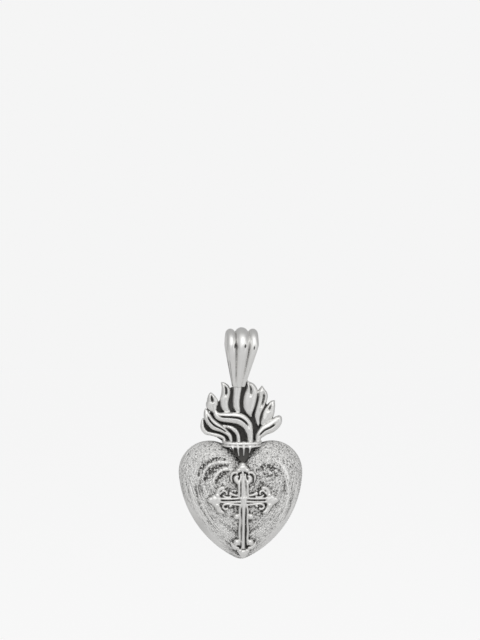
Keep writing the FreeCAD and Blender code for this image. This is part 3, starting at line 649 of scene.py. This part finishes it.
def add_bail_web(mesh):
    """Band over the bore and the tapered web under it."""
    turned = Matrix.Rotation(math.pi / 2, 4, "Y")
    half = FLUTE_PITCH + 0.3
    band = bmesh.ops.create_cone(mesh, cap_ends=True, segments=96, radius1=RING_RADIUS * MM,
                                 radius2=RING_RADIUS * MM, depth=2 * half * MM, matrix=turned)
    for vert in band["verts"]:
        vert.co.z = max(vert.co.z, 0)
    corners = bmesh.ops.create_cube(mesh, size=1)["verts"]
    for vert in corners:
        low = vert.co.z < 0
        half = FOOT_PITCH if low else FLUTE_PITCH
        depth = FOOT_DEPTH if low else RING_RADIUS
        middle = FOOT_OFFSET if low else 0
        height = -FOOT_DROP if low else 0
        vert.co = Vector((middle + half * 2 * vert.co.x, depth * 2 * vert.co.y, height)) * MM


# Tarnish and painted shade in the recesses

def read_points(data, field):
    values = np.empty(len(data.vertices) * 3)
    data.vertices.foreach_get(field, values)
    return values.reshape(-1, 3)


def store(data, name, values):
    attribute = data.attributes.new(name, "FLOAT", "POINT")
    attribute.data.foreach_set("value", values)


def neighbour_mean(data, values, rounds):
    """Values at the vertices, evened out along the edges."""
    count = len(data.vertices)
    ends = np.empty(len(data.edges) * 2, int)
    data.edges.foreach_get("vertices", ends)
    first, second = ends[::2], ends[1::2]
    degree = np.bincount(first, minlength=count) + np.bincount(second, minlength=count) + 1
    for _ in range(rounds):
        total = values + np.bincount(first, values[second], count)
        total += np.bincount(second, values[first], count)
        values = total / degree
    return values


def shade_recesses(piece, tree, reach, rays, tarnish_and_painted_light, deepest):
    """Store how shut in each point is, as painted shade, plus the tarnish and painted light given for the
    piece: about 0 in the open, and up to deepest in a recess.
    """
    data = piece.data
    places, normals = read_points(data, "co"), read_points(data, "normal")
    random = np.random.default_rng(7)
    shut = np.zeros(len(places))
    cast = tree.ray_cast
    # Ray-cast occlusion: painted shade in the recesses, over the tarnish the silver has there.
    for _ in range(rays):
        way = random.normal(size=places.shape)
        way /= np.linalg.norm(way, axis=1)[:, None]
        way += normals * 1.02
        way /= np.linalg.norm(way, axis=1)[:, None]
        start = places + normals * 0.02 * MM
        hits = [cast(Vector(a), Vector(b), reach * MM)[3] for a, b in zip(start, way)]
        shut += [0 if hit is None else 1 - 0.5 * hit / (reach * MM) for hit in hits]
    shut = neighbour_mean(data, shut / rays + tarnish_and_painted_light(places / MM, normals), 2)
    store(data, "recess", np.minimum(shut, deepest))


def crown_tarnish(places, normals):
    """The ground between the flames, the cone's core and its tip are blackened."""
    x, y, z = places.T
    ground = np.clip((y + 0.35) / 0.2, 0, 1) * (normals[:, 1] < -0.6) * (z > FLAME_FOOT)
    down = np.clip((CONE_TOP.z - z) / (CONE_TOP.z - CONE_FOOT.z), 0, 1)
    width = cone_share(down)
    middle = CONE_TOP.y + (CONE_FOOT.y - CONE_TOP.y) * down
    aside = x - CONE_TOP.x
    spread = np.hypot(aside / (CONE_WIDTH * width), (y - middle) / (CONE_DEPTH * width))
    core = np.clip((1.2 - spread) / 0.06, 0, 1)
    core = np.maximum(core, np.abs(aside) > 2.45 * width) * (z < -19.0)
    tip = np.clip((-20.6 - z) / 0.4, 0, 1)
    ribs = 0.38 * (z < -19.2)
    gaps = np.zeros(len(places))
    for line in FLAME_GAPS:
        for across, up, half in smooth_line(line, 30):
            gaps = np.maximum(gaps, np.exp(-((x - across)**2 + (z - up)**2) / half**2))
    gaps *= normals[:, 1] < 0
    return 0.55 * np.maximum(ground, gaps) + np.maximum(0.6 * np.maximum(core, tip), ribs)


def heart_patina_and_painted_light(places, normals):
    """Patina, painted shade and painted light, with the chased marks' patina and painted highlight, on the
    sanded front.
    """
    x, z = places[:, 0], places[:, 2]
    total = mark_fields(x, z)[1] * 0.6
    for across, up, wide, tall, strength in PATINA_AND_PAINTED_LIGHT:
        total += 0.25 * strength * np.exp(-((x - across) / wide)**2 - ((z - up) / tall)**2)
    return total * (normals[:, 1] < 0)


# Dark notches low on the bow of the bail: distance right, height, half width.
BOW_NOTCHES = [(-1.5, 0.6, 0.12), (0.5, 0.6, 0.19), (2.25, 0.25, 0.13)]


def bail_tarnish_and_shade(places, normals):
    """Dark grooves between the flutes, a line down the left edge and the notches of the bow; the left edge
    line is painted shade on faces turned left.
    """
    x, z = places[:, 0], places[:, 2]
    share = np.clip((NARROWING_TOP - z) / (NARROWING_TOP + FOOT_DROP), 0, 1)
    middle = FLUTE_OFFSET + (FOOT_OFFSET - FLUTE_OFFSET) * share
    groove = MIDDLE_FLUTE[0] + (MIDDLE_FLUTE[1] - MIDDLE_FLUTE[0]) * share
    low = np.clip((1.4 - z) / 0.8, 0, 1)
    total = 0.2 * np.exp(-((np.abs(x - middle) - groove) / 0.17)**2) * low
    # Painted shade: faces turned to the left are darkened along the left edge.
    edge = np.clip((-0.6 - normals[:, 0]) / 0.15, 0, 1) * (x < middle - groove)
    total += 0.45 * edge * np.clip((-1 - z) / 1.5, 0, 1)
    for across, up, wide in BOW_NOTCHES:
        lean = (x - across - (z - up) * 0.15) / wide
        total += 1.1 * np.exp(-lean**2 - ((z - up) / 0.42)**2) * (places[:, 1] < 0)
    return total


def cross_tarnish_and_shade(places, normals):
    """The foot of the relief's flanks is dark, with tarnish and painted shade, and so is the groove of the
    upper shaft.
    """
    x, height = places[:, 0], places[:, 2] - CROSS_CENTRE
    rise = dome_depth(x, places[:, 2] - HEART_CENTRE) - places[:, 1]
    shaft = np.exp(-((x - 0.07) / 0.34)**4) * np.clip((height - 0.8) / 0.4, 0, 1)
    shaft *= np.clip((4.3 - height) / 0.5, 0, 1)
    # The foot of the flanks: tarnish and painted shade where the relief meets the dome.
    return 0.22 * np.clip((0.35 - rise) / 0.3, 0, 1) + 0.33 * shaft


def joined_tree(pieces):
    """Ray tree over all the pieces."""
    places, faces = [], []
    for piece in pieces:
        start = len(places)
        places += [tuple(vert.co) for vert in piece.data.vertices]
        faces += [tuple(start + n for n in face.vertices) for face in piece.data.polygons]
    return BVHTree.FromPolygons(places, faces)


# Materials

class Value:
    """A shader socket that arithmetic joins with Math nodes."""

    def __init__(self, finish, socket):
        self.finish, self.socket = finish, socket

    def math(self, operation, *others):
        return self.finish.node("ShaderNodeMath", {"operation": operation},
                                dict(enumerate((self,) + others)))

    def __add__(self, other):
        return self.math("ADD", other)

    def __sub__(self, other):
        return self.math("SUBTRACT", other)

    def __rsub__(self, other):
        return (self * -1) + other

    def __mul__(self, other):
        return self.math("MULTIPLY", other)

    __radd__, __rmul__ = __add__, __mul__


class Finish:
    """The nodes of a material or of the world around."""

    def __init__(self, owner):
        self.owner = owner
        owner.use_nodes = True
        self.tree = owner.node_tree
        self.tree.nodes.clear()

    def node(self, kind, settings, inputs, output=0):
        """Add a node with its settings, and its sockets' values or links; give one output."""
        node = self.tree.nodes.new(kind)
        for name, value in settings.items():
            if name == "stops":
                self.set_stops(node.color_ramp, value)
            else:
                setattr(node, name, value)
        for key, value in inputs.items():
            if isinstance(value, Value):
                self.tree.links.new(value.socket, node.inputs[key])
            else:
                node.inputs[key].default_value = value
        return Value(self, node.outputs[output]) if node.outputs else None

    def set_stops(self, ramp, stops):
        while len(ramp.elements) > 1:
            ramp.elements.remove(ramp.elements[-1])
        for n, (place, shade) in enumerate(stops):
            stop = ramp.elements[0] if n == 0 else ramp.elements.new(place)
            stop.position = place
            stop.color = (shade, shade, shade, 1)

    def ramp(self, value, *stops):
        return self.node("ShaderNodeValToRGB", {"stops": stops}, {0: value})

    def place(self):
        return self.node("ShaderNodeTexCoord", {}, {}, "Object")

    def attribute(self, name):
        return self.node("ShaderNodeAttribute", {"attribute_name": name}, {}, "Fac")

    def noise(self, scale, detail, rough):
        return self.node("ShaderNodeTexNoise", {}, {"Vector": self.place(), "Scale": scale,
                                                    "Detail": detail, "Roughness": rough})

    def mix(self, share, first, second):
        return self.node("ShaderNodeMix", {"data_type": "RGBA"}, {0: share, 6: first, 7: second}, 2)

    def surface(self, inputs):
        shader = self.node("ShaderNodeBsdfPrincipled", {}, inputs)
        self.node("ShaderNodeOutputMaterial", {}, {0: shader})
        return self.owner


BRIGHT = (0.86, 0.855, 0.84, 1)
SANDED = (0.96, 0.955, 0.94, 1)
# Dark colour for tarnish, also used for painted shade in the recesses.
TARNISH_AND_SHADE = (0.09, 0.087, 0.082, 1)


def polished_silver():
    """Bright silver, worn a little, that is blackened where it is shut in, with tarnish and painted shade.
    """
    finish = Finish(bpy.data.materials.new("polished_silver"))
    recess = finish.attribute("recess")
    grain = finish.noise(2600, 3, 0.6)
    # The recess attribute darkens the colour: tarnish and painted shade.
    dark = finish.ramp(recess + (grain - 0.5) * 0.12, (0.3, 0), (0.58, 1))
    rub = finish.noise(1400, 4, 0.7)
    relief = finish.noise(900, 2, 0.5)
    bump = finish.node("ShaderNodeBump", {}, {"Strength": 0.25, "Distance": 0.00008, "Height": relief})
    return finish.surface({
        "Base Color": finish.mix(dark, BRIGHT, TARNISH_AND_SHADE),
        "Metallic": 1 - dark * 0.7,
        "Roughness": (rub * 0.14 + 0.32) + dark * 0.4,
        "Normal": bump,
    })


def sanded_silver():
    """Pitted and scratched silver whose pits hold patina; its edges are rubbed smooth. The recess
    attribute darkens it with tarnish and painted shade, and lightens it with painted light.
    """
    finish = Finish(bpy.data.materials.new("sanded_silver"))
    recess, sanded = finish.attribute("recess"), finish.attribute("sanded")
    away, streaked = finish.attribute("away"), finish.attribute("streaked")
    pits = finish.noise(2500, 1, 0.6)
    fine = finish.noise(5200, 1, 0.5)
    height = finish.node("ShaderNodeSeparateXYZ", {}, {0: finish.place()}, 2)
    lines = finish.node("ShaderNodeCombineXYZ", {}, {0: away * 4.2, 1: height * 240})
    scratches = finish.node("ShaderNodeTexNoise", {}, {"Vector": lines, "Scale": 1.0, "Detail": 2.0})
    surface = (pits - 0.5) * (1.7 - streaked * 0.5) + (fine - 0.5) * 0.9
    surface = surface + (scratches - 0.5) * 1.15 * streaked
    # The recess attribute brings tarnish, painted shade and painted light into the tone; the pits add
    # grain.
    tone = recess * 0.8 + 0.19 - surface * (recess.math("MAXIMUM", 0.0) + 0.9) * sanded
    dark = finish.ramp(tone, (0.12, 0), (0.7, 1))
    bump = finish.node("ShaderNodeBump", {}, {"Strength": 0.9, "Distance": 0.0003,
                                               "Height": surface * sanded.math("MINIMUM", 1.0)})
    return finish.surface({
        "Base Color": finish.mix(dark, SANDED, TARNISH_AND_SHADE),
        "Metallic": 1 - dark * 0.6,
        "Roughness": (0.3 + sanded * 0.12) + dark * 0.3,
        "Normal": bump,
    })


def paint_heart(piece):
    """Where the heart is sanded and streaked, and the distance from its edge."""
    places = read_points(piece.data, "co") / MM
    x, z = places[:, 0], places[:, 2] - HEART_CENTRE
    away = edge_distance(x, z, heart_outline(240))
    front = np.clip((0.9 - places[:, 1]) / 0.3, 0, 1)
    smooth_band = np.clip((1 - z) / 4, 0, 1) * (1.15 - np.clip(x / 12, 0, 1) * 0.3)
    smooth_band *= np.clip((z + 11) / 3, 0, 1)
    sanded = np.clip((away - smooth_band + 0.3) / 0.8, 0, 1) * front
    sanded *= 1 - np.clip(-1.6 * mark_fields(x, places[:, 2])[1], 0, 0.65)
    streaked = np.clip((6.5 - away) / 3, 0, 1) * np.clip((6 - z) / 4, 0.15, 1) * np.where(x < 0, 1.5, 1.1)
    sanded *= 1 + 0.9 * np.exp(-((np.abs(x) - 5.8) / 4)**2 - ((z - 8.6) / 2.2)**2)
    for name, values in (("sanded", sanded), ("streaked", streaked), ("away", away)):
        store(piece.data, name, values)


def floor_finish():
    finish = Finish(bpy.data.materials.new("pale_floor"))
    white = finish.node("ShaderNodeBsdfDiffuse", {}, {"Color": (0.9, 0.9, 0.9, 1)})
    glow = finish.node("ShaderNodeEmission", {}, {"Color": (0.97, 0.97, 0.97, 1), "Strength": 1.0})
    seen = finish.node("ShaderNodeLightPath", {}, {}, "Is Camera Ray")
    both = finish.node("ShaderNodeMixShader", {}, {0: seen * 0.9, 1: white, 2: glow})
    finish.node("ShaderNodeOutputMaterial", {}, {0: both})
    return finish.owner


# Pieces

crown = make_crown()
heart = make_heart()
cross = make_cross()
bail = make_bail()
silver, sanded = polished_silver(), sanded_silver()
tree = joined_tree([crown, heart, cross, bail])
ray_count = 20
paint_heart(heart)
# The recess attribute of each piece holds painted shade from ray-cast occlusion plus its tarnish; the
# heart's also holds painted light.
for piece, node, slot, finish, reach, tarnish_and_painted_light, deepest in [
        (crown, "flame_crown", "polished_silver", silver, 1.3, crown_tarnish, 1.0),
        (heart, "heart_body", "sanded_silver", sanded, 1.5, heart_patina_and_painted_light, 1.0),
        (cross, "cross", "polished_silver", silver, 0.55, cross_tarnish_and_shade, 0.48),
        (bail, "bail", "polished_silver", silver, 1.1, bail_tarnish_and_shade, 0.6)]:
    shade_recesses(piece, tree, reach, ray_count, tarnish_and_painted_light, deepest)
    piece.data.materials.clear()
    piece.data.materials.append(finish)
    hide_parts(node)
    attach(piece, "root")


# Floor, lights and camera, in metres

FLOOR_RADIUS, FLOOR_HEIGHT = 3.0, -0.062
PENDANT_MIDDLE = Vector((0, 0, -0.02))


def add_floor():
    mesh = bmesh.new()
    bmesh.ops.create_circle(mesh, cap_ends=True, segments=96, radius=FLOOR_RADIUS,
                            matrix=Matrix.Translation((0, 0, FLOOR_HEIGHT)))
    floor = finish_mesh("floor", mesh)
    floor.data.materials.append(floor_finish())


def add_softbox(name, place, width, height, power):
    light = bpy.data.lights.new(name, "AREA")
    light.shape = "RECTANGLE"
    light.size, light.size_y = width, height
    light.energy = power
    lamp = bpy.data.objects.new(name, light)
    bpy.context.scene.collection.objects.link(lamp)
    lamp.location = place
    aim = PENDANT_MIDDLE - Vector(place)
    lamp.rotation_euler = aim.to_track_quat("-Z", "Y").to_euler()


def set_world():
    """Even light all round, with a paler wall for the camera alone."""
    world = bpy.data.worlds.new("studio")
    bpy.context.scene.world = world
    studio = Finish(world)
    seen = studio.node("ShaderNodeLightPath", {}, {}, "Is Camera Ray")
    soft = studio.node("ShaderNodeBackground", {}, {"Color": (1, 1, 1, 1), "Strength": 0.46})
    wall = studio.node("ShaderNodeBackground", {}, {"Color": (0.913, 0.913, 0.913, 1)})
    both = studio.node("ShaderNodeMixShader", {}, {0: seen, 1: soft, 2: wall})
    studio.node("ShaderNodeOutputWorld", {}, {0: both})


def add_camera():
    """The photograph's view: 640 pixels span 124.9 mm at the pendant."""
    reach, span = 0.5, 0.1249
    azimuth = math.radians(-5)
    data = bpy.data.cameras.new("camera")
    data.sensor_width = 36
    data.lens = 36 * reach / span
    camera = bpy.data.objects.new("camera", data)
    bpy.context.scene.collection.objects.link(camera)
    target = Vector((-0.0002, 0, 0.00567))
    back = Vector((math.sin(azimuth), -math.cos(azimuth), 0))
    camera.location = target + back * reach
    camera.rotation_euler = (-back).to_track_quat("-Z", "Y").to_euler()
    bpy.context.scene.camera = camera


bpy.context.scene.view_settings.view_transform = "Standard"
add_floor()
set_world()
add_softbox("key", (-0.21, -0.4, 0.38), 0.8, 0.8, 1.1)
add_softbox("fill", (0.4, -0.3, 0.05), 0.3, 0.45, 0.25)
add_softbox("front", (0.12, -0.4, 0.45), 0.8, 0.5, 0.85)
add_camera()
